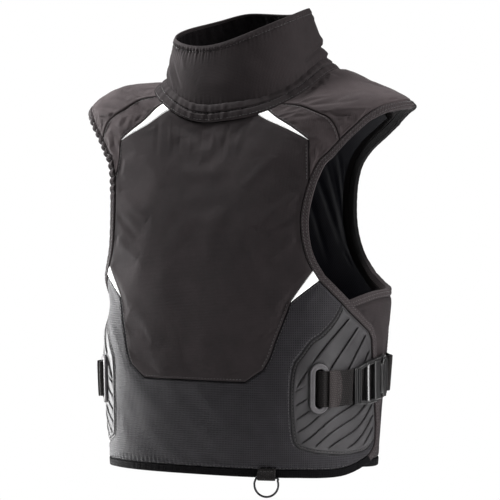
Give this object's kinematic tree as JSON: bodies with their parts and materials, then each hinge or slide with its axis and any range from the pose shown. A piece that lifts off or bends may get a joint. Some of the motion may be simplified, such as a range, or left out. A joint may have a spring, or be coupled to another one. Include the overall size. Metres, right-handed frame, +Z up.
{
  "type": "snow sports protective vest",
  "caption": "Padded sleeveless vest with a tall stand-up collar, ribbed waist panels and a buckled webbing strap at each side, standing as worn.",
  "frame": {"origin": "middle of the vest at the height where the wearer's shoulders carry it, 540 mm above the front hem", "axes": "+X to the wearer's left, -Y out of the chest, +Z up"},
  "size_m": [0.5172, 0.2972, 0.69],
  "materials": {
    "softshell": "matte knit-faced softshell",
    "woven_nylon": "coarse plain weave",
    "reflective_film": "silver-white reflective film",
    "moulded_rubber": "satin, embossed ribs",
    "satin_lining": "satin",
    "binding_tape": "matte woven tape",
    "fleece": "brushed pile",
    "webbing": "ribbed webbing",
    "buckle_plastic": "satin",
    "ring_steel": "black plated wire"
  },
  "bodies": {
    "vest": {"front_panel": "softshell", "front_lower_panel": "woven_nylon", "yoke_left": "softshell", "yoke_right": "softshell", "shoulder_cap_left": "softshell", "shoulder_cap_right": "softshell", "reflective_piping_upper_left": "reflective_film", "reflective_piping_upper_right": "reflective_film", "reflective_piping_lower_left": "reflective_film", "reflective_piping_lower_right": "reflective_film", "side_panel_left": "moulded_rubber", "side_panel_right": "moulded_rubber", "back_panel": "softshell", "back_lower_panel": "woven_nylon", "back_wing_left": "softshell", "back_wing_right": "softshell", "back_lining": "satin_lining", "armhole_binding_left": "binding_tape", "armhole_binding_right": "binding_tape", "front_side_binding_left": "binding_tape", "front_side_binding_right": "binding_tape", "back_side_binding_left": "binding_tape", "back_side_binding_right": "binding_tape", "hem_binding_front": "binding_tape", "hem_binding_back": "binding_tape", "collar_roll": "softshell", "collar": "softshell", "collar_lining": "fleece", "slot_frame_left": "moulded_rubber", "slot_frame_right": "moulded_rubber", "front_strap_left": "webbing", "front_strap_right": "webbing", "strap_keeper_left": "webbing", "strap_keeper_right": "webbing", "buckle_male_left": "buckle_plastic", "buckle_male_right": "buckle_plastic", "buckle_female_left": "buckle_plastic", "buckle_female_right": "buckle_plastic", "back_strap_left": "webbing", "back_strap_right": "webbing", "ring_tab": "webbing"},
    "ring": {"d_ring": "ring_steel"}
  },
  "joints": [
    {"name": "ring_swing", "type": "hinge", "parent": "vest", "child": "ring", "pos_m": [0.1139, -0.14378, -0.538], "axis": [0.9551, 0.2963, 0], "range_deg": [-110, 45]}
  ]
}
